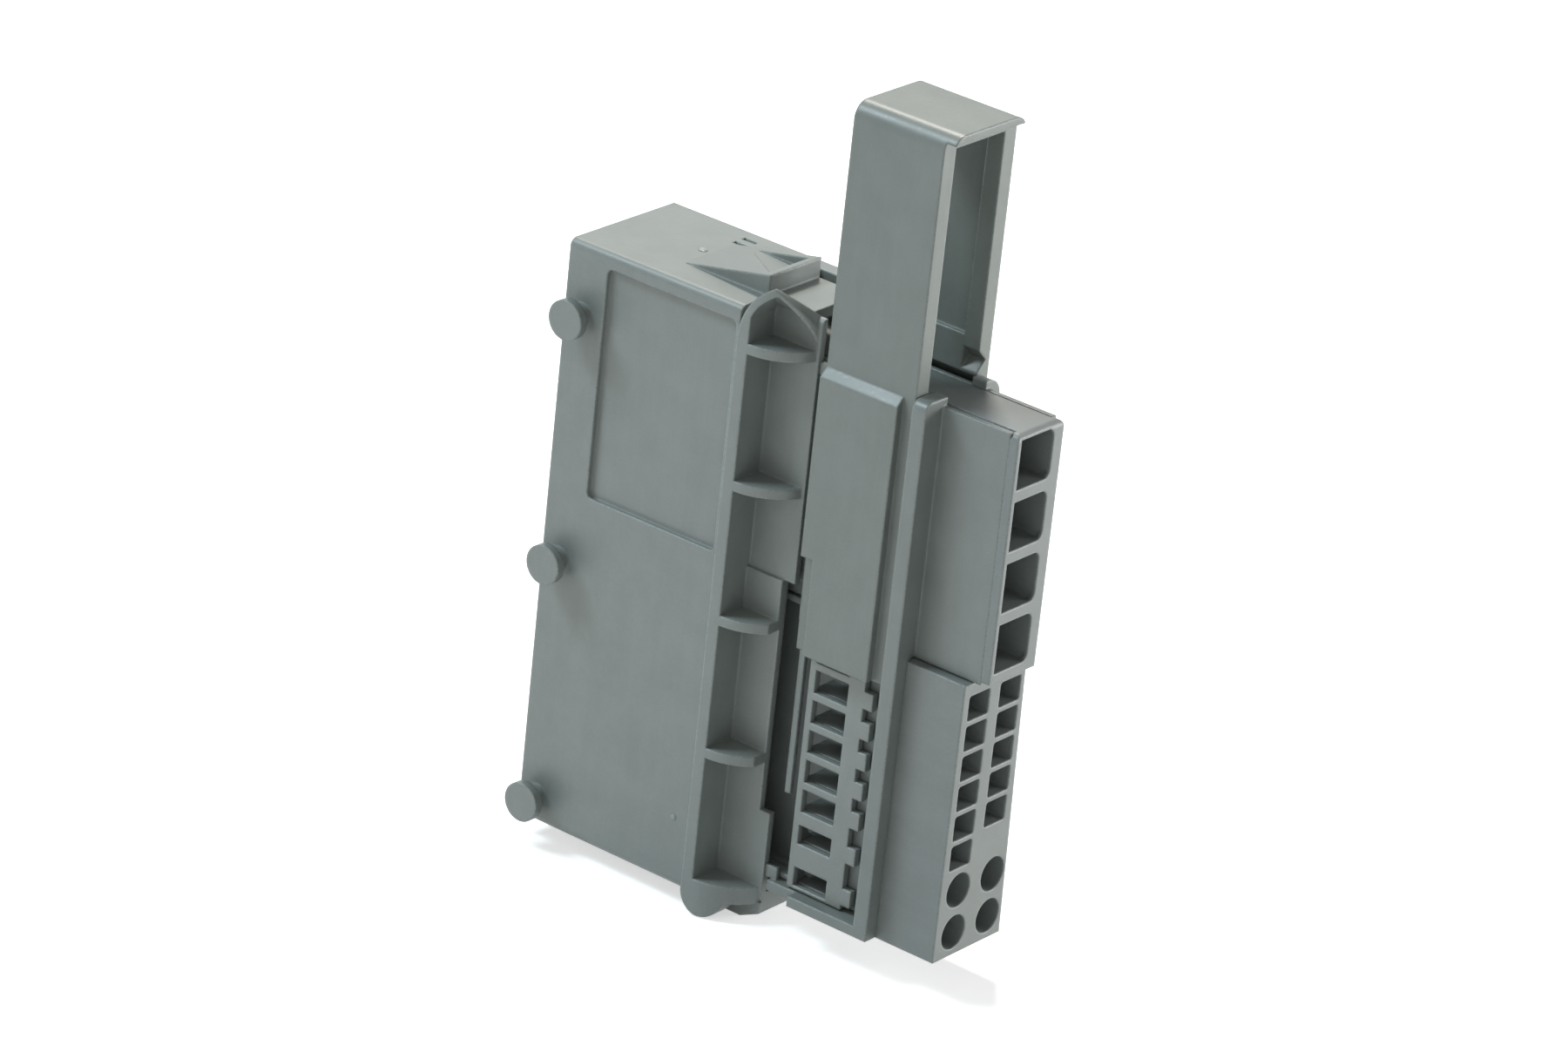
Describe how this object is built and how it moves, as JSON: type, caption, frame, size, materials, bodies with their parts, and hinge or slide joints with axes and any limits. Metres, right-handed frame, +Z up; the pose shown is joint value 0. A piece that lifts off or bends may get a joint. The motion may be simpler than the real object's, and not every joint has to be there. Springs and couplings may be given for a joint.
{
  "type": "wiring connector",
  "caption": "Slim automotive wiring connector: open mating hood with headed studs and a cored rib bar, contact carriers on the wire side, comb lock and a pulled-out locking slide",
  "frame": {"origin": "centre of the hood's open mating mouth", "axes": "X from the mating mouth to the wire side, Y from the face with the studs to the back, Z up along the slide's travel"},
  "size_m": [0.0807, 0.0288, 0.1356],
  "materials": {
    "hood": "fine spark-eroded grain",
    "frame": "fine spark-eroded grain",
    "power_carrier": "fine spark-eroded grain, smoother inside the cavities",
    "signal_carrier": "fine spark-eroded grain, smoother inside the cavities",
    "slide": "fine spark-eroded grain, rubbed smooth on the runners",
    "comb": "smooth moulded"
  },
  "bodies": {
    "housing": {"plug_hood": "hood", "socket_frame": "frame", "power_module": "power_carrier", "signal_module": "signal_carrier"},
    "slide": {"locking_slide": "slide"},
    "comb": {"secondary_lock": "comb"}
  },
  "joints": [
    {"name": "slide_push", "type": "slide", "parent": "housing", "child": "slide", "axis": [0, 0, 1], "range_m": [-0.0395, 0]},
    {"name": "comb_lock", "type": "slide", "parent": "housing", "child": "comb", "axis": [0, 0, 1], "range_m": [0, 0.0015]}
  ]
}
